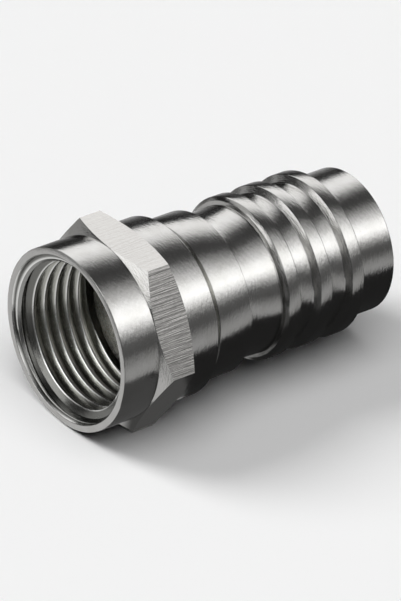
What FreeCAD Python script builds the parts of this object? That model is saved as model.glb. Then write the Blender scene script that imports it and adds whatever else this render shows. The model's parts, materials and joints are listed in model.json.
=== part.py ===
import FreeCAD, Part
import math
import os

# Crimp plug for a coaxial television cable, lying on one flat of its nut, in millimetres.
# The axis is X: the nut opens towards -X and the cable goes in from +X, Z is up.
# The origin is the centre of the post's front face, where the rim of the socket seats.

# Thread of the nut, 3/8 inch with 32 turns to the inch, bored to its inner diameter
thread_diameter = 9.525
thread_height = 0.4125
thread_runout = 0.25
relief_depth = 0.09

# Mouth and collars of the nut
nut_reach = 5.15
mouth_flare = 0.30
countersink_depth = 0.70
rim_width = 0.40
front_collar_length = 2.45
rear_wall = 0.4825
lip_thickness = 0.87
nut_edge_break = 0.06
nut_rear_chamfer = 0.12

# Hexagon of the nut
flat_rise = 0.0375
hex_length = 2.27
hex_chamfer_angle = 25.0

# Post that carries the nut and holds the cable's core
core_diameter = 4.57
core_clearance = 0.09
post_wall = 0.425
flange_thickness = 0.75
flange_clearance = 0.15
neck_rise = 0.65
shoulder_length = 0.45
barb_height = 0.25
barb_length = 1.60
tip_wall = 0.16
tip_recess = 1.25
post_edge_break = 0.08

# Play that lets the nut turn
neck_clearance = 0.05
flange_gap = 0.10
rear_gap = 0.28

# Sleeve that is pressed on the post and crimped on the cable's jacket
jacket_gap = 1.05
hub_length = 2.46
hub_rise = 0.44
hub_front_chamfer = 0.18
hub_bore_length = 2.25
plain_length = 2.51
sleeve_wall = 0.56
end_wall = 0.45
end_length = 2.74
sleeve_edge_break = 0.08
sleeve_end_chamfer = 0.10

# Ridges for the crimping tool
ridge_count = 3
ridge_height = 0.48
ridge_land = 0.82
groove_width = 1.48
groove_flank = 0.22
ridge_chamfer_length = 0.18
ridge_chamfer_height = 0.22

# Radii that follow from these sizes
thread_radius = thread_diameter / 2
thread_bore_radius = thread_radius - thread_height
relief_radius = thread_radius + relief_depth
mouth_radius = thread_radius + mouth_flare
front_collar_radius = mouth_radius + rim_width
rear_collar_radius = relief_radius + rear_wall
flat_radius = front_collar_radius + flat_rise
post_bore_radius = core_diameter / 2 + core_clearance
tail_radius = post_bore_radius + post_wall
neck_radius = tail_radius + neck_rise
flange_radius = thread_bore_radius - flange_clearance
lip_bore_radius = neck_radius + neck_clearance
sleeve_bore_radius = tail_radius + jacket_gap
sleeve_radius = sleeve_bore_radius + sleeve_wall
hub_radius = sleeve_radius + hub_rise
ridge_radius = sleeve_radius + ridge_height
end_radius = sleeve_bore_radius + end_wall

# Places along the axis, from the post's front face
nut_front = -nut_reach
hex_front = nut_front + front_collar_length
hex_rear = hex_front + hex_length
lip_front = flange_thickness + flange_gap
nut_rear = lip_front + lip_thickness
sleeve_front = nut_rear + rear_gap
hub_rear = sleeve_front + hub_length
hub_bore_rear = sleeve_front + hub_bore_length
ridges_front = hub_rear + plain_length
ridge_pitch = ridge_land + groove_width
ridges_rear = ridges_front + ridge_chamfer_length + (ridge_count - 1) * ridge_pitch + ridge_land
sleeve_rear = ridges_rear + end_length
post_rear = sleeve_rear - tip_recess

origin = FreeCAD.Vector(0, 0, 0)
axis = FreeCAD.Vector(1, 0, 0)


def turned(outline):
    # Solid turned about the axis from corners given as (place along the axis, radius)
    corners = [FreeCAD.Vector(place, 0, radius) for place, radius in outline]
    section = Part.Face(Part.makePolygon(corners + corners[:1]))
    return section.revolve(origin, axis, 360)


def hexagon():
    # Hexagonal bar with one flat down, both ends turned to a cone
    corner_radius = flat_radius / math.cos(math.radians(30))
    corners = []
    for index in range(7):
        angle = math.radians(60 * index)
        y = corner_radius * math.cos(angle)
        z = corner_radius * math.sin(angle)
        corners.append(FreeCAD.Vector(hex_front, y, z))
    bar = Part.Face(Part.makePolygon(corners)).extrude(axis * hex_length)

    # The two cones meet outside the corners, so each corner keeps a straight edge
    middle = hex_length / 2
    cone_radius = front_collar_radius + middle / math.tan(math.radians(hex_chamfer_angle))
    cones = turned([
        (hex_front, 0),
        (hex_front, front_collar_radius),
        (hex_front + middle, cone_radius),
        (hex_rear, front_collar_radius),
        (hex_rear, 0),
    ])
    return bar.common(cones)


def coupling_nut():
    hex_middle = (hex_front + hex_rear) / 2
    collars = turned([
        (nut_front, 0),
        (nut_front, front_collar_radius - nut_edge_break),
        (nut_front + nut_edge_break, front_collar_radius),
        (hex_middle, front_collar_radius),
        (hex_middle, rear_collar_radius),
        (nut_rear - nut_rear_chamfer, rear_collar_radius),
        (nut_rear, rear_collar_radius - nut_rear_chamfer),
        (nut_rear, 0),
    ])
    # The post's flange lies in the wide part, and the narrow part turns on its neck
    cavity = turned([
        (nut_front, 0),
        (nut_front, mouth_radius),
        (nut_front + countersink_depth, thread_bore_radius),
        (-thread_runout, thread_bore_radius),
        (-thread_runout, relief_radius),
        (lip_front, relief_radius),
        (lip_front, lip_bore_radius),
        (nut_rear, lip_bore_radius),
        (nut_rear, 0),
    ])
    return collars.fuse(hexagon()).cut(cavity).removeSplitter()


def inner_post():
    return turned([
        (0, post_bore_radius),
        (0, flange_radius - post_edge_break),
        (post_edge_break, flange_radius),
        (flange_thickness, flange_radius),
        (flange_thickness, neck_radius),
        (hub_bore_rear, neck_radius),
        (hub_bore_rear + shoulder_length, tail_radius),
        (post_rear - barb_length, tail_radius),
        (post_rear - barb_length, tail_radius + barb_height),
        (post_rear, post_bore_radius + tip_wall),
        (post_rear, post_bore_radius),
    ])


def ridge_outline():
    # A square shoulder leads to the first ridge, and grooves with sloping sides part the ridges
    outline = [
        (ridges_front, sleeve_radius),
        (ridges_front, ridge_radius - ridge_chamfer_height),
    ]
    land_start = ridges_front + ridge_chamfer_length
    for ridge in range(ridge_count):
        land_end = land_start + ridge_land
        outline.append((land_start, ridge_radius))
        outline.append((land_end, ridge_radius))
        if ridge < ridge_count - 1:
            outline.append((land_end + groove_flank, sleeve_radius))
            outline.append((land_end + groove_width - groove_flank, sleeve_radius))
        land_start = land_end + groove_width
    return outline


def crimp_sleeve():
    return turned([
        (sleeve_front, neck_radius),
        (sleeve_front, hub_radius - hub_front_chamfer),
        (sleeve_front + hub_front_chamfer, hub_radius),
        (hub_rear - sleeve_edge_break, hub_radius),
        (hub_rear, hub_radius - sleeve_edge_break),
        (hub_rear, sleeve_radius),
        *ridge_outline(),
        (ridges_rear + groove_flank, end_radius),
        (sleeve_rear - sleeve_end_chamfer, end_radius),
        (sleeve_rear, end_radius - sleeve_end_chamfer),
        (sleeve_rear, sleeve_bore_radius),
        (hub_bore_rear, sleeve_bore_radius),
        (hub_bore_rear, neck_radius),
    ])


os.makedirs("parts", exist_ok=True)
pieces = {
    "coupling_nut": coupling_nut(),
    "inner_post": inner_post(),
    "crimp_sleeve": crimp_sleeve(),
}
for name, shape in pieces.items():
    shape.exportStep(f"parts/{name}.step")
    print(f"{name}: {len(shape.Solids)} solid, valid {shape.isValid()}, {shape.Volume:.2f} mm3")
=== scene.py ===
import json
import math

import bmesh
import bpy
from mathutils import Matrix, Vector


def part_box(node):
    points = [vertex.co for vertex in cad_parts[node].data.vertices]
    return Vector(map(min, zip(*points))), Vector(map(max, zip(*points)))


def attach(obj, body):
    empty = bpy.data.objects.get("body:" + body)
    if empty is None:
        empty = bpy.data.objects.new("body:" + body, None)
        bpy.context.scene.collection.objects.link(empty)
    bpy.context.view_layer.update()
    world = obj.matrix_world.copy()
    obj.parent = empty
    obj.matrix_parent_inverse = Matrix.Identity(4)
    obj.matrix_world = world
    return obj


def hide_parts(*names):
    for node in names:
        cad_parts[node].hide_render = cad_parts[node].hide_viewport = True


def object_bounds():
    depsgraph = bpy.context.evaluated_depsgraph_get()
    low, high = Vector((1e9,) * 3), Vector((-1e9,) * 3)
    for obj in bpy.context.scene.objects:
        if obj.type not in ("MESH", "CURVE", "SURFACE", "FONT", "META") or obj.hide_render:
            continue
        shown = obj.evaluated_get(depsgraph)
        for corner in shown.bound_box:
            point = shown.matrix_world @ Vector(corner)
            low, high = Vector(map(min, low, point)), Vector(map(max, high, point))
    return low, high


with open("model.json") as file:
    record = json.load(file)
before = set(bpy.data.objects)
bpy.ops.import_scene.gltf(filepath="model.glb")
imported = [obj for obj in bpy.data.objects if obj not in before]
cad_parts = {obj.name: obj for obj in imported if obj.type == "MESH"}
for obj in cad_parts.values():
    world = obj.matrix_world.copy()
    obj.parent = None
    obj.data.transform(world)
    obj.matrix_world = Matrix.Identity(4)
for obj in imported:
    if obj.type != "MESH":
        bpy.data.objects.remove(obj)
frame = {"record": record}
cadLow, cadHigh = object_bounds()
print("frame loaded")

# the dictionaries hold millimetres, measured along the plug's axis from the post's front face
mm = 0.001
axis = Vector((1, 0, 0))
turnSteps = 240  # steps of a full turn, a multiple of six so that the hexagon's corners fall on them

nutLow, nutHigh = (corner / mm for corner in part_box("coupling_nut"))
postLow, postHigh = (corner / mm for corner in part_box("inner_post"))
sleeveLow, sleeveHigh = (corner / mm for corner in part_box("crimp_sleeve"))
mounts = {mount["name"]: mount for mount in frame["record"]["mounts"]}
crestRadius = mounts["socket_thread"]["dims"]["r_mm"]
coreRadius = mounts["cable_core_bore"]["dims"]["r_mm"]


def drawOutline(bm, outline):
    # closed outline of (place, radius, rounding) beside the axis
    corners = [bm.verts.new((place * mm, 0, radius * mm)) for place, radius, rounding in outline]
    for index, corner in enumerate(corners):
        bm.edges.new((corners[index - 1], corner))
    for corner, (place, radius, rounding) in zip(corners, outline):
        if rounding:
            bmesh.ops.bevel(bm, geom=[corner], offset=rounding * mm, offset_type='OFFSET',
                            affect='VERTICES', segments=3, profile=0.5, material=-1)


def turnedMesh(outline):
    bm = bmesh.new()
    drawOutline(bm, outline)
    bmesh.ops.spin(bm, geom=bm.verts[:] + bm.edges[:], cent=(0, 0, 0), axis=axis,
                   angle=math.tau, steps=turnSteps, use_merge=True)
    bmesh.ops.remove_doubles(bm, verts=bm.verts, dist=1e-8)
    bmesh.ops.recalc_face_normals(bm, faces=bm.faces)
    return bm


def finishPiece(bm, name, body, node, materials):
    mesh = bpy.data.meshes.new(name)
    bm.to_mesh(mesh)
    bm.free()
    for material in materials:
        mesh.materials.append(material)
    mesh.shade_smooth()
    mesh.set_sharp_from_angle(angle=math.radians(28))
    piece = bpy.data.objects.new(name, mesh)
    bpy.context.scene.collection.objects.link(piece)
    # wide faces keep their own shading and the small roundings take the turn
    shading = piece.modifiers.new("evenShading", 'WEIGHTED_NORMAL')
    shading.keep_sharp = True
    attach(piece, body)
    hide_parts(node)
    print(name, "has", len(mesh.polygons), "faces")
    return piece


def addNode(tree, kind, inputs=None, **settings):
    node = tree.nodes.new(kind)
    for name, value in settings.items():
        setattr(node, name, value)
    for key, value in (inputs or {}).items():
        if isinstance(value, bpy.types.NodeSocket):
            tree.links.new(value, node.inputs[key])
        else:
            node.inputs[key].default_value = value
    return node


def addMath(tree, operation, first, second=0.0, third=0.0):
    return addNode(tree, 'ShaderNodeMath', {0: first, 1: second, 2: third}, operation=operation).outputs[0]


def addRamp(tree, fac, stops):
    ramp = addNode(tree, 'ShaderNodeValToRGB', {'Fac': fac})
    elements = ramp.color_ramp.elements
    for index, (position, colour) in enumerate(stops):
        element = elements[index] if index < 2 else elements.new(position)
        element.position = position
        element.color = colour if len(colour) == 4 else (*colour, 1)
    return ramp.outputs['Color']


def addBlend(tree, fac, first, second):
    # the colours may be sockets or plain values
    first, second = (colour if isinstance(colour, bpy.types.NodeSocket) else (*colour, 1)
                     for colour in (first, second))
    mix = addNode(tree, 'ShaderNodeMix', {'Factor': fac, 6: first, 7: second}, data_type='RGBA')
    return mix.outputs[2]


def addRange(tree, value, start, end, low=0.0, high=1.0):
    settings = {'Value': value, 'From Min': start, 'From Max': end, 'To Min': low, 'To Max': high}
    return addNode(tree, 'ShaderNodeMapRange', settings).outputs[0]


def turnedCoordinates(tree):
    # in millimetres: the point, its part across the axis, its place along it and its distance from it
    point = addNode(tree, 'ShaderNodeTexCoord').outputs['Object']
    point = addNode(tree, 'ShaderNodeVectorMath', {0: point, 'Scale': 1 / mm}, operation='SCALE').outputs[0]
    parts = addNode(tree, 'ShaderNodeSeparateXYZ', {0: point})
    y, z = parts.outputs['Y'], parts.outputs['Z']
    across = addNode(tree, 'ShaderNodeCombineXYZ', {'Y': y, 'Z': z}).outputs[0]
    radius = addNode(tree, 'ShaderNodeVectorMath', {0: across}, operation='LENGTH').outputs['Value']
    return {"point": point, "place": parts.outputs['X'], "y": y, "z": z, "across": across, "radius": radius}


def latheLines(tree, spot, fineness, drift):
    # streaks that run round the axis, on cylinders, cones and end faces alike
    along = addMath(tree, 'MULTIPLY', spot["place"], fineness)
    outwards = addMath(tree, 'MULTIPLY', spot["radius"], fineness)
    shift = addNode(tree, 'ShaderNodeCombineXYZ', {'X': along}).outputs[0]
    point = addNode(tree, 'ShaderNodeVectorMath', {0: spot["across"], 'Scale': drift}, operation='SCALE')
    point = addNode(tree, 'ShaderNodeVectorMath', {0: point.outputs[0], 1: shift}, operation='ADD').outputs[0]
    noise = addNode(tree, 'ShaderNodeTexNoise', {'Vector': point, 'W': outwards, 'Scale': 1.0, 'Detail': 3.0,
                                                 'Roughness': 0.6}, noise_dimensions='4D')
    return noise.outputs['Fac']


turnedNickel = {
    "colour": (0.49, 0.485, 0.475),
    "stain": (0.455, 0.45, 0.435),
    "anisotropic": 0.75,
    "lineFineness": 9.0,      # streaks to the millimetre
    "lineDrift": 2.5,         # how fast a streak changes round the turn
    "lineHeight": 0.014,
    "patchScale": 0.9,
    "roughness": (0.12, 0.18),
}


def makeTurnedNickel(name, look):
    material = bpy.data.materials.new(name)
    material.use_nodes = True
    tree = material.node_tree
    shader = tree.nodes['Principled BSDF']
    spot = turnedCoordinates(tree)
    lines = latheLines(tree, spot, look["lineFineness"], look["lineDrift"])
    patches = addNode(tree, 'ShaderNodeTexNoise', {'Vector': spot["point"], 'Scale': look["patchScale"],
                                                   'Detail': 4.0}).outputs['Fac']
    colour = addRamp(tree, patches, [(0.35, look["stain"]), (0.65, look["colour"])])
    if "grooveShadeColour" in look:
        # painted light and shade: the crests keep the light colour, the grooves below them get a painted
        # shade, darker near the mouth
        # measured from the crests, which follow the cone of the countersink at the mouth
        slope = countersinkSlope()
        cone = addMath(tree, 'MULTIPLY_ADD', spot["place"], -slope, nut["mouthRadius"] + slope * nutLow.x)
        crest = addMath(tree, 'MAXIMUM', cone, crestRadius)
        below = addMath(tree, 'SUBTRACT', spot["radius"], crest)
        depth = addRange(tree, below, *look["crestDepth"])
        inner, outer = (nut["countersinkEnd"] + reach for reach in look["mouthShadeReach"])
        mouthShade = addRange(tree, spot["place"], inner, outer)
        paintedShade = addBlend(tree, mouthShade, look["grooveShadeColour"], look["mouthShadeColour"])
        # the crests that the countersink has cut flat are painted darker between their rounded edges, a
        # painted shade on the lands that leaves the edges as painted highlight lines
        land = addRange(tree, below, *look["landDepth"], 1.0, 0.0)
        colour = addBlend(tree, addMath(tree, 'MULTIPLY', land, mouthShade), colour, look["landShadeColour"])
        colour = addBlend(tree, depth, colour, paintedShade)
    roughness = addRange(tree, lines, 0.3, 0.7, *look["roughness"])
    bump = addNode(tree, 'ShaderNodeBump', {'Height': lines, 'Strength': 1.0,
                                            'Distance': look["lineHeight"] * mm})
    # the brushed direction runs round the axis
    circling = addNode(tree, 'ShaderNodeCombineXYZ', {'Y': addMath(tree, 'MULTIPLY', spot["z"], -1.0),
                                                      'Z': spot["y"]}).outputs[0]
    tangent = addNode(tree, 'ShaderNodeVectorTransform', {0: circling}, vector_type='VECTOR',
                      convert_from='OBJECT', convert_to='WORLD')
    shader.inputs['Metallic'].default_value = 1.0
    shader.inputs['Anisotropic'].default_value = look["anisotropic"]
    shader.inputs['Anisotropic Rotation'].default_value = 0.25
    tree.links.new(colour, shader.inputs['Base Color'])
    tree.links.new(roughness, shader.inputs['Roughness'])
    tree.links.new(bump.outputs[0], shader.inputs['Normal'])
    tree.links.new(tangent.outputs[0], shader.inputs['Tangent'])
    return material


# painted light and shade for the thread: its crests are painted lighter than the rest of the nickel, as a
# painted light inside the bore, and its grooves darker as painted shade, darkest near the mouth
threadNickelPaintedLightAndShade = {
    **turnedNickel,
    "colour": (0.84, 0.84, 0.82),
    "stain": (0.76, 0.76, 0.74),
    "anisotropic": 0.5,
    "lineHeight": 0.010,
    "roughness": (0.18, 0.28),
    "grooveShadeColour": (0.42, 0.42, 0.385),
    "crestDepth": (0.03, 0.10),  # below the crest, where the painted light of the crest ends and the painted shade of the groove begins
    "mouthShadeColour": (0.17, 0.17, 0.16),
    "landShadeColour": (0.30, 0.30, 0.29),
    "landDepth": (0.002, 0.006),
    "mouthShadeReach": (0.50, 0.36),  # from the end of the countersink, where the painted shade of the mouth begins
}

chatteredNickel = {
    **turnedNickel,
    "lineFineness": 10.0,
    "lineDrift": 2.2,
    "lineHeight": 0.019,
    "roughness": (0.13, 0.20),
}

# the post is painted lighter than the rest of the nickel, a painted light for its face deep inside the nut
postNickelPaintedLight = {
    **turnedNickel,
    "colour": (0.80, 0.79, 0.75),
    "stain": (0.72, 0.71, 0.67),
    "lineHeight": 0.006,
    "roughness": (0.22, 0.34),
}

milledNickel = {
    "colour": (0.50, 0.49, 0.475),
    "stain": (0.47, 0.46, 0.445),
    "ribs": 46.0,             # across one radian of the turn
    "ribDrift": 0.25,
    "ribHeight": 0.011,
    "speckScale": 6.0,
    "roughness": (0.14, 0.20),
}


def makeMilledNickel(name, look):
    material = bpy.data.materials.new(name)
    material.use_nodes = True
    tree = material.node_tree
    shader = tree.nodes['Principled BSDF']
    spot = turnedCoordinates(tree)
    turn = addMath(tree, 'MULTIPLY', addMath(tree, 'ARCTAN2', spot["z"], spot["y"]), look["ribs"])
    along = addMath(tree, 'MULTIPLY', spot["place"], look["ribDrift"])
    grid = addNode(tree, 'ShaderNodeCombineXYZ', {'X': turn, 'Y': along}).outputs[0]
    ribs = addNode(tree, 'ShaderNodeTexNoise', {'Vector': grid, 'Scale': 1.0, 'Detail': 3.0,
                                                'Roughness': 0.65}, noise_dimensions='2D').outputs['Fac']
    specks = addNode(tree, 'ShaderNodeTexNoise', {'Vector': spot["point"], 'Scale': look["speckScale"],
                                                  'Detail': 4.0}).outputs['Fac']
    colour = addRamp(tree, specks, [(0.35, look["stain"]), (0.65, look["colour"])])
    roughness = addRange(tree, specks, 0.3, 0.7, *look["roughness"])
    bump = addNode(tree, 'ShaderNodeBump', {'Height': ribs, 'Strength': 1.0,
                                            'Distance': look["ribHeight"] * mm})
    shader.inputs['Metallic'].default_value = 1.0
    tree.links.new(colour, shader.inputs['Base Color'])
    tree.links.new(roughness, shader.inputs['Roughness'])
    tree.links.new(bump.outputs[0], shader.inputs['Normal'])
    return material


nut = {
    "mouthRadius": 5.0625,
    "collarRadius": 5.4625,
    "hexFront": -2.70,
    "hexRear": -0.43,
    "hexChamferAngle": 25.0,
    "hexEdge": 0.18,
    "rearCollarRadius": 5.335,
    "rearChamfer": 0.12,
    "grooveRadius": 4.7625,
    "countersinkEnd": -4.45,
    "threadEnd": -0.25,
    "reliefRadius": 4.8525,
    "lipFront": 0.85,
    "lipRadius": 3.5,
    "edgeBreak": 0.06,
    "rimRounding": 0.03,
}


def hexPlace(angle):
    # radius of the hexagon and how far its chamfer has climbed there, at this angle round the axis
    flatRadius = nutHigh.z
    offset = (angle + math.pi / 6) % (math.pi / 3) - math.pi / 6
    radius = flatRadius / math.cos(offset)
    return radius, (radius - nut["collarRadius"]) * math.tan(math.radians(nut["hexChamferAngle"]))


def countersinkSlope():
    return (nut["mouthRadius"] - crestRadius) / (nut["countersinkEnd"] - nutLow.x)


def buildNut():
    front, rear = nutLow.x, nutHigh.x
    ringRadius = nutHigh.y * 0.95  # of the two rings that become the edges of the hexagon
    bm = turnedMesh([
        (front, nut["collarRadius"], nut["edgeBreak"]),
        (nut["hexFront"], nut["collarRadius"], 0),
        (nut["hexFront"] + 0.3, ringRadius, 0),
        (nut["hexRear"] - 0.3, ringRadius, 0),
        (nut["hexRear"], nut["collarRadius"], 0),
        (nut["hexRear"], nut["rearCollarRadius"], 0),
        (rear - nut["rearChamfer"], nut["rearCollarRadius"], 0.02),
        (rear, nut["rearCollarRadius"] - nut["rearChamfer"], 0.02),
        (rear, nut["lipRadius"], 0.04),
        (nut["lipFront"], nut["lipRadius"], 0.04),
        (nut["lipFront"], nut["reliefRadius"], 0),
        (nut["threadEnd"], nut["reliefRadius"], 0),
        (nut["threadEnd"], nut["grooveRadius"], 0),
        (nut["countersinkEnd"], nut["grooveRadius"], 0.05),
        (front, nut["mouthRadius"], nut["rimRounding"]),
    ])
    rings = [vert for vert in bm.verts if abs(math.hypot(vert.co.y, vert.co.z) - ringRadius * mm) < 1e-6]
    for vert in rings:
        radius, climb = hexPlace(math.atan2(vert.co.z, vert.co.y) + math.pi / 6)
        atFront = vert.co.x < (nut["hexFront"] + nut["hexRear"]) / 2 * mm
        scale = radius * mm / math.hypot(vert.co.y, vert.co.z)
        vert.co.y *= scale
        vert.co.z *= scale
        vert.co.x = (nut["hexFront"] + climb if atFront else nut["hexRear"] - climb) * mm
    ringSet = set(rings)
    hexEdges = [edge for edge in bm.edges if edge.verts[0] in ringSet and edge.verts[1] in ringSet
                and abs(edge.verts[0].co.x - edge.verts[1].co.x) > 1 * mm and edge.calc_face_angle() > 0.5]
    bmesh.ops.bevel(bm, geom=hexEdges, offset=nut["hexEdge"] * mm, offset_type='OFFSET',
                    affect='EDGES', segments=4, profile=0.5, material=-1)
    bm.normal_update()
    for face in bm.faces:
        middle = face.calc_center_median()
        radius = math.hypot(middle.y, middle.z) / mm
        onHexagon = nut["hexFront"] < middle.x / mm < nut["hexRear"] and radius > nut["collarRadius"]
        if onHexagon and abs(face.normal.x) < 0.1:
            face.material_index = 1
        elif radius < nut["mouthRadius"] - nut["rimRounding"]:
            face.material_index = 2
    return bm


thread = {
    "pitch": 25.4 / 32,
    "crestWidth": 0.16,
    "flankWidth": 0.255,
    "crestRounding": 0.025,
    "phase": 0.33,            # turns
    "footDepth": 0.03,
    "rimGap": 0.2,
    "reliefGap": 0.01,
}


def buildThread(bm):
    # one ridge wound round the bore with its foot sunk in the wall, cut off near the rim and at the relief
    pitch = thread["pitch"]
    half = thread["crestWidth"] / 2
    depth = nut["grooveRadius"] - crestRadius
    foot = nut["grooveRadius"] + thread["footDepth"]
    footHalf = half + thread["flankWidth"] * (foot - crestRadius) / depth
    start = nutLow.x - pitch * (1 + thread["phase"])
    turns = math.ceil((nut["threadEnd"] - start) / pitch) + 1
    ridge = bmesh.new()
    section = [
        (start - footHalf, foot, 0),
        (start - half, crestRadius, thread["crestRounding"]),
        (start + half, crestRadius, thread["crestRounding"]),
        (start + footHalf, foot, 0),
    ]
    drawOutline(ridge, section)
    bmesh.ops.spin(ridge, geom=ridge.verts[:] + ridge.edges[:], cent=(0, 0, 0), axis=axis,
                   dvec=axis * pitch * mm / turnSteps, angle=math.tau, steps=turnSteps)
    firstTurn = ridge.verts[:] + ridge.edges[:] + ridge.faces[:]
    for turn in range(1, turns):
        copied = bmesh.ops.duplicate(ridge, geom=firstTurn)['geom']
        moved = [part for part in copied if isinstance(part, bmesh.types.BMVert)]
        bmesh.ops.translate(ridge, verts=moved, vec=axis * pitch * turn * mm)
    bmesh.ops.remove_doubles(ridge, verts=ridge.verts, dist=1e-7)
    for place, outwards in ((nutLow.x + thread["rimGap"], -1), (nut["threadEnd"] - thread["reliefGap"], 1)):
        cut = bmesh.ops.bisect_plane(ridge, geom=ridge.verts[:] + ridge.edges[:] + ridge.faces[:],
                                     dist=1e-8, plane_co=axis * place * mm, plane_no=axis * outwards,
                                     clear_outer=True)
        rim = [part for part in cut['geom_cut'] if isinstance(part, bmesh.types.BMEdge)]
        bmesh.ops.triangle_fill(ridge, edges=rim, use_beauty=True)
    # at the mouth the ridge sinks into the wall, with its crest on the cone of the countersink
    slope = countersinkSlope()
    for vert in ridge.verts:
        radius = math.hypot(vert.co.y, vert.co.z) / mm
        cone = nut["mouthRadius"] - slope * (vert.co.x / mm - nutLow.x)
        sunk = 1 + max(0, cone - crestRadius) / radius
        vert.co.y *= sunk
        vert.co.z *= sunk
    bmesh.ops.recalc_face_normals(ridge, faces=ridge.faces)
    for face in ridge.faces:
        face.material_index = 2
    mesh = bpy.data.meshes.new("ridge")
    ridge.to_mesh(mesh)
    ridge.free()
    bm.from_mesh(mesh)
    bpy.data.meshes.remove(mesh)


post = {
    "flangeRadius": postHigh.z,
    "flangeRear": 0.75,
    "neckRadius": 3.45,
    "neckRear": 4.25,
    "shoulderRear": 4.70,
    "tailRadius": 2.8,
    "barbFront": 12.46,
    "barbRadius": 3.05,
    "tipRadius": 2.535,
    "edgeBreak": 0.08,
}


def buildPost():
    return turnedMesh([
        (postLow.x, coreRadius, 0.05),
        (postLow.x, post["flangeRadius"], post["edgeBreak"]),
        (post["flangeRear"], post["flangeRadius"], 0.04),
        (post["flangeRear"], post["neckRadius"], 0.04),
        (post["neckRear"], post["neckRadius"], 0),
        (post["shoulderRear"], post["tailRadius"], 0.1),
        (post["barbFront"], post["tailRadius"], 0),
        (post["barbFront"], post["barbRadius"], 0.03),
        (postHigh.x, post["tipRadius"], 0.03),
        (postHigh.x, coreRadius, 0.03),
    ])


sleeve = {
    "hubRadius": 4.85,
    "hubChamfer": 0.18,
    "hubRear": 4.46,
    "hubBoreRadius": 3.45,
    "hubBoreRear": 4.25,
    "plainRadius": 4.41,
    "boreRadius": 3.85,
    "endRadius": 4.3,
    "ridges": 3,
    "ridgesFront": 6.97,
    "ridgeRadius": sleeveHigh.z,
    "ridgeChamfer": (0.18, 0.22),
    "ridgeLand": 0.82,
    "grooveWidth": 1.48,
    "grooveFlank": 0.22,
    "edgeBreak": 0.08,
    "endChamfer": 0.10,
}


def buildSleeve():
    front, rear = sleeveLow.x, sleeveHigh.x
    chamferLength, chamferHeight = sleeve["ridgeChamfer"]
    outline = [
        (front, sleeve["hubBoreRadius"], 0.03),
        (front, sleeve["hubRadius"] - sleeve["hubChamfer"], 0.03),
        (front + sleeve["hubChamfer"], sleeve["hubRadius"], 0.03),
        (sleeve["hubRear"], sleeve["hubRadius"], sleeve["edgeBreak"]),
        (sleeve["hubRear"], sleeve["plainRadius"], 0.05),
        (sleeve["ridgesFront"], sleeve["plainRadius"], 0.05),
        (sleeve["ridgesFront"], sleeve["ridgeRadius"] - chamferHeight, 0.03),
    ]
    landStart = sleeve["ridgesFront"] + chamferLength
    for ridge in range(sleeve["ridges"]):
        landEnd = landStart + sleeve["ridgeLand"]
        outline.append((landStart, sleeve["ridgeRadius"], 0.04))
        outline.append((landEnd, sleeve["ridgeRadius"], 0.05))
        if ridge < sleeve["ridges"] - 1:
            landStart = landEnd + sleeve["grooveWidth"]
            outline.append((landEnd + sleeve["grooveFlank"], sleeve["plainRadius"], 0.08))
            outline.append((landStart - sleeve["grooveFlank"], sleeve["plainRadius"], 0.08))
    outline += [
        (landEnd + sleeve["grooveFlank"], sleeve["endRadius"], 0.05),
        (rear - sleeve["endChamfer"], sleeve["endRadius"], 0.02),
        (rear, sleeve["endRadius"] - sleeve["endChamfer"], 0.02),
        (rear, sleeve["boreRadius"], 0.03),
        (sleeve["hubBoreRear"], sleeve["boreRadius"], 0),
        (sleeve["hubBoreRear"], sleeve["hubBoreRadius"], 0),
    ]
    bm = turnedMesh(outline)
    for face in bm.faces:
        middle = face.calc_center_median() / mm
        outside = math.hypot(middle.y, middle.z) > (sleeve["boreRadius"] + sleeve["endRadius"]) / 2
        face.material_index = 1 if outside and sleeve["ridgesFront"] < middle.x < landEnd else 0
    return bm


nickelTurned = makeTurnedNickel("turnedNickel", turnedNickel)
nickelMilled = makeMilledNickel("milledNickel", milledNickel)
nickelThreadPaintedLightAndShade = makeTurnedNickel("threadNickelPaintedLightAndShade", threadNickelPaintedLightAndShade)
nickelChattered = makeTurnedNickel("chatteredNickel", chatteredNickel)
nickelPostPaintedLight = makeTurnedNickel("postNickelPaintedLight", postNickelPaintedLight)
nutMesh = buildNut()
buildThread(nutMesh)
finishPiece(nutMesh, "nutFinished", "nut", "coupling_nut",
            [nickelTurned, nickelMilled, nickelThreadPaintedLightAndShade])
finishPiece(buildPost(), "postFinished", "cable_end", "inner_post", [nickelPostPaintedLight])
finishPiece(buildSleeve(), "sleeveFinished", "cable_end", "crimp_sleeve",
            [nickelTurned, nickelChattered])


studio = {
    "floorSize": 1500.0,
    "floorColour": (0.88, 0.88, 0.88),
    "keyPlace": (-240, 300, 340),
    "keyStrength": 2.08,
    "keyAngle": 26.0,         # a wide sun, so that its shadow is soft and the floor evenly lit
    "fillPlace": (-10, -20, 60),
    "fillStrength": 1.75,
    "fillAngle": 60.0,
    "world": 0.06,
    "tentRadius": 160.0,
    "tentHalfLength": 320.0,
    "tentStrength": 1.27,
    "mouthShare": 0.45,       # what is left of the tent's light on the side of the mouth
    "mouthFade": (-35, -15),  # where along the axis it rises to the full light
    # the painted floor reflection: how far it reaches, how high it lies over the floor and how its ramp is
    # squeezed
    "paintedFloorReach": 750.0,
    "paintedFloorLift": 0.2,
    "paintedFloorSqueeze": 20.0,
}

# light of the tent by degrees round the axis, from straight up towards the camera's side
tentLight = [(-90, 0.025), (-71, 0.03), (-67, 1.15), (-50, 1.27), (-38, 1.00), (-28, 0.45), (-20, 0.10),
             (-8, 0.06), (3, 0.10), (15, 0.45), (27, 0.90), (38, 1.50), (50, 1.78), (58, 1.30), (67, 0.50),
             (76, 0.13), (90, 0.10)]

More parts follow.
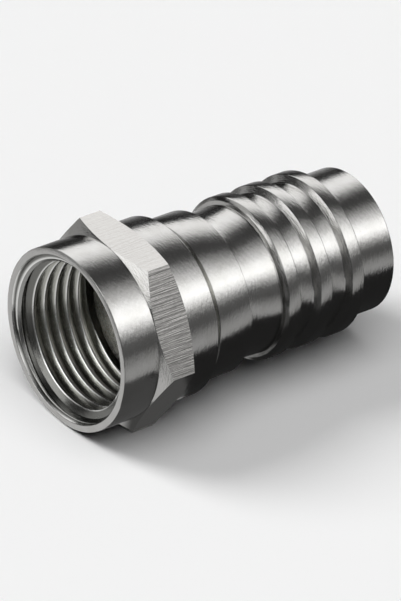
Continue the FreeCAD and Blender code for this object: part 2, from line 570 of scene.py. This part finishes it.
# panels on the side of the mouth, for the faces that look that way
sidePanels = {
    "leftPanel": {
        "centre": (-219, 102, 61),
        "facing": (0.875, -0.408, -0.2),
        "size": (260, 110),
        "strength": 2.0,
    },
    "frontPanel": {
        "centre": (-193, 24, 141),
        "facing": (0.803, -0.0986, -0.588),
        "size": (111, 67),
        "strength": 1.6,
    },
}

# a painted reflection of the floor as the metal sees it, in stretches along the axis: from, to, and the light
# by millimetres across it, negative on the camera's side; the dark stretches beside and under the plug are
# its painted shadow
farSide = [(12.5, 0.75), (15, 0.68), (20.6, 0.44), (32, 0.24), (73, 0.10), (160, 0.06), (750, 0.05)]
nearSide = [(-750, 0.17), (-140, 0.20), (-48, 0.33), (-23, 0.49), (-15, 0.49)]
paintedFloorReflections = {
    "farFloorReflection": (-750.0, -16.5, [(-140, 0.05), (-60, 0.10), (18, 0.33), (73, 0.45), (160, 0.35)]),
    "rimFloorReflection": (-16.5, -5.1, [(-140, 0.05), (-7.2, 0.05), (-6.8, 0.78), (18, 0.74), (32, 0.60),
                              (73, 0.45)]),
    "collarFloorReflection": (-5.1, 2.0, [*nearSide, (-14, 0.10), (-3.0, 0.10), (-2.4, 0.55), (2.4, 0.55),
                               (3.0, 0.10), (11.5, 0.10), *farSide]),
    "sleeveFloorReflection": (2.0, 15.0, [*nearSide, (-14, 0.025), (-1.7, 0.025), (-1.1, 0.35), (1.1, 0.35),
                               (1.7, 0.025), (11.5, 0.025), *farSide]),
    "endFloorReflection": (15.0, 750.0, [*nearSide, (-14, 0.025), (0.6, 0.025), (1.6, 0.75), *farSide]),
}


def makeEmission(name, build):
    material = bpy.data.materials.new(name)
    material.use_nodes = True
    tree = material.node_tree
    tree.nodes.clear()
    colour, strength = build(tree)
    emission = addNode(tree, 'ShaderNodeEmission', {'Color': colour, 'Strength': strength})
    addNode(tree, 'ShaderNodeOutputMaterial', {'Surface': emission.outputs[0]})
    return material


def stageObject(bm, name, material):
    mesh = bpy.data.meshes.new(name)
    bm.to_mesh(mesh)
    bm.free()
    mesh.materials.append(material)
    obj = bpy.data.objects.new(name, mesh)
    bpy.context.scene.collection.objects.link(obj)
    return obj


def reflectorOnly(obj):
    # a light panel that only the metal sees
    obj.visible_camera = False
    obj.visible_diffuse = False
    obj.visible_shadow = False


def buildTent():
    radius = studio["tentRadius"]
    half = studio["tentHalfLength"]
    bm = bmesh.new()
    ends = [bm.verts.new((side * half * mm, radius * mm, 0)) for side in (-1, 1)]
    rib = bm.edges.new(ends)
    bmesh.ops.spin(bm, geom=[rib, *ends], cent=(0, 0, 0), axis=axis, angle=math.pi, steps=60)

    def light(tree):
        point = addNode(tree, 'ShaderNodeTexCoord').outputs['Object']
        parts = addNode(tree, 'ShaderNodeSeparateXYZ', {0: point})
        back = addMath(tree, 'MULTIPLY', parts.outputs['Y'], -1.0)
        angle = addMath(tree, 'ARCTAN2', back, parts.outputs['Z'])
        share = addMath(tree, 'MULTIPLY_ADD', angle, 1 / math.pi, 0.5)
        stops = [((degrees + 90) / 180, (value / 2, value / 2, value / 2)) for degrees, value in tentLight]
        strength = 2 * studio["tentStrength"]
        dim, full = (place * mm for place in studio["mouthFade"])
        fade = addRange(tree, parts.outputs['X'], dim, full, strength * studio["mouthShare"], strength)
        return addRamp(tree, share, stops), fade

    tent = stageObject(bm, "lightTent", makeEmission("tentCloth", light))
    reflectorOnly(tent)


def buildSidePanel(name, look):
    bm = bmesh.new()
    width, height = look["size"]
    turn = Vector(look["facing"]).to_track_quat('Z', 'Y').to_matrix().to_4x4()
    matrix = Matrix.Translation(Vector(look["centre"]) * mm) @ turn
    matrix = matrix @ Matrix.Diagonal((width * mm, height * mm, 1, 1))
    bmesh.ops.create_grid(bm, x_segments=1, y_segments=1, size=0.5, matrix=matrix)
    reflectorOnly(stageObject(bm, name, makeEmission(name, lambda tree: ((1, 1, 1, 1), look["strength"]))))


def buildFloor():
    bm = bmesh.new()
    size = studio["floorSize"] * mm
    bmesh.ops.create_grid(bm, x_segments=1, y_segments=1, size=size,
                          matrix=Matrix.Translation((0, 0, cadLow.z)))
    material = bpy.data.materials.new("palePaper")
    material.use_nodes = True
    shader = material.node_tree.nodes['Principled BSDF']
    shader.inputs['Base Color'].default_value = (*studio["floorColour"], 1)
    shader.inputs['Roughness'].default_value = 0.9
    shader.inputs['Specular IOR Level'].default_value = 0.0
    stageObject(bm, "floor", material)


# one emitting sheet just above the floor that only the metal sees, a painted reflection of the floor that
# carries the plug's painted shadow in its ramp
def buildPaintedFloorReflection(name, near, far, stops):
    bm = bmesh.new()
    matrix = Matrix.Translation(Vector(((near + far) / 2, 0, cadLow.z / mm + studio["paintedFloorLift"])) * mm)
    matrix = matrix @ Matrix.Diagonal(((far - near) * mm, 2 * studio["paintedFloorReach"] * mm, 1, 1))
    bmesh.ops.create_grid(bm, x_segments=1, y_segments=1, size=0.5, matrix=matrix)

    def light(tree):
        point = addNode(tree, 'ShaderNodeTexCoord').outputs['Object']
        parts = addNode(tree, 'ShaderNodeSeparateXYZ', {0: point})
        # squeezed with the distance, so that the ramp is finest beside the plug
        squeeze = studio["paintedFloorSqueeze"]
        spread = addMath(tree, 'ADD', addMath(tree, 'ABSOLUTE', parts.outputs['Y']), squeeze * mm)
        share = addMath(tree, 'MULTIPLY_ADD', addMath(tree, 'DIVIDE', parts.outputs['Y'], spread), 0.5, 0.5)
        return addRamp(tree, share, [(0.5 + side / 2 / (abs(side) + squeeze), (value, value, value))
                                     for side, value in stops]), 1.0

    reflectorOnly(stageObject(bm, name, makeEmission(name, light)))


def addSun(name, place, strength, angle):
    # lights the floor alone, because the metal mirrors only the tent, the panels and the painted floor
    # reflections
    data = bpy.data.lights.new(name, 'SUN')
    data.energy = strength
    data.angle = math.radians(angle)
    light = bpy.data.objects.new(name, data)
    light.rotation_mode = 'QUATERNION'
    light.location = Vector(place) * mm
    light.rotation_quaternion = Vector(place).to_track_quat('Z', 'Y')
    light.visible_camera = False
    light.visible_glossy = False
    bpy.context.scene.collection.objects.link(light)


buildTent()
for name, look in sidePanels.items():
    buildSidePanel(name, look)
buildFloor()
for name, (near, far, stops) in paintedFloorReflections.items():
    buildPaintedFloorReflection(name, near, far, stops)
addSun("keyLight", studio["keyPlace"], studio["keyStrength"], studio["keyAngle"])
addSun("fillLight", studio["fillPlace"], studio["fillStrength"], studio["fillAngle"])
bpy.context.scene.cycles.caustics_reflective = False

world = bpy.data.worlds.new("studioAir")
world.use_nodes = True
world.node_tree.nodes['Background'].inputs['Color'].default_value = (1, 1, 1, 1)
world.node_tree.nodes['Background'].inputs['Strength'].default_value = studio["world"]
bpy.context.scene.world = world
bpy.context.scene.view_settings.view_transform = 'Standard'
print("studio lit")


view = {
    "aim": (4.540, -0.054, -0.598),
    "azimuth": -41.203,       # 0 looks along +Y, 90 along -X
    "elevation": 33.520,
    "roll": 5.920,
    "distance": 455.99,
    "focalPixels": 8000,
    "imageHeight": 601,
    "sensor": 36.0,
}


def placeCamera():
    data = bpy.data.cameras.new("camera")
    data.sensor_width = view["sensor"]
    data.lens = view["focalPixels"] / view["imageHeight"] * view["sensor"]
    data.clip_start = 0.02
    data.clip_end = 5.0
    azimuth, elevation = math.radians(view["azimuth"]), math.radians(view["elevation"])
    back = Vector((math.sin(azimuth) * math.cos(elevation), -math.cos(azimuth) * math.cos(elevation),
                   math.sin(elevation)))
    camera = bpy.data.objects.new("camera", data)
    roll = Matrix.Rotation(math.radians(view["roll"]), 3, 'Z')
    turn = (-back).to_track_quat('-Z', 'Y').to_matrix() @ roll
    place = (Vector(view["aim"]) + back * view["distance"]) * mm
    camera.matrix_world = Matrix.Translation(place) @ turn.to_4x4()
    bpy.context.scene.collection.objects.link(camera)
    bpy.context.scene.camera = camera


placeCamera()
print("camera placed")
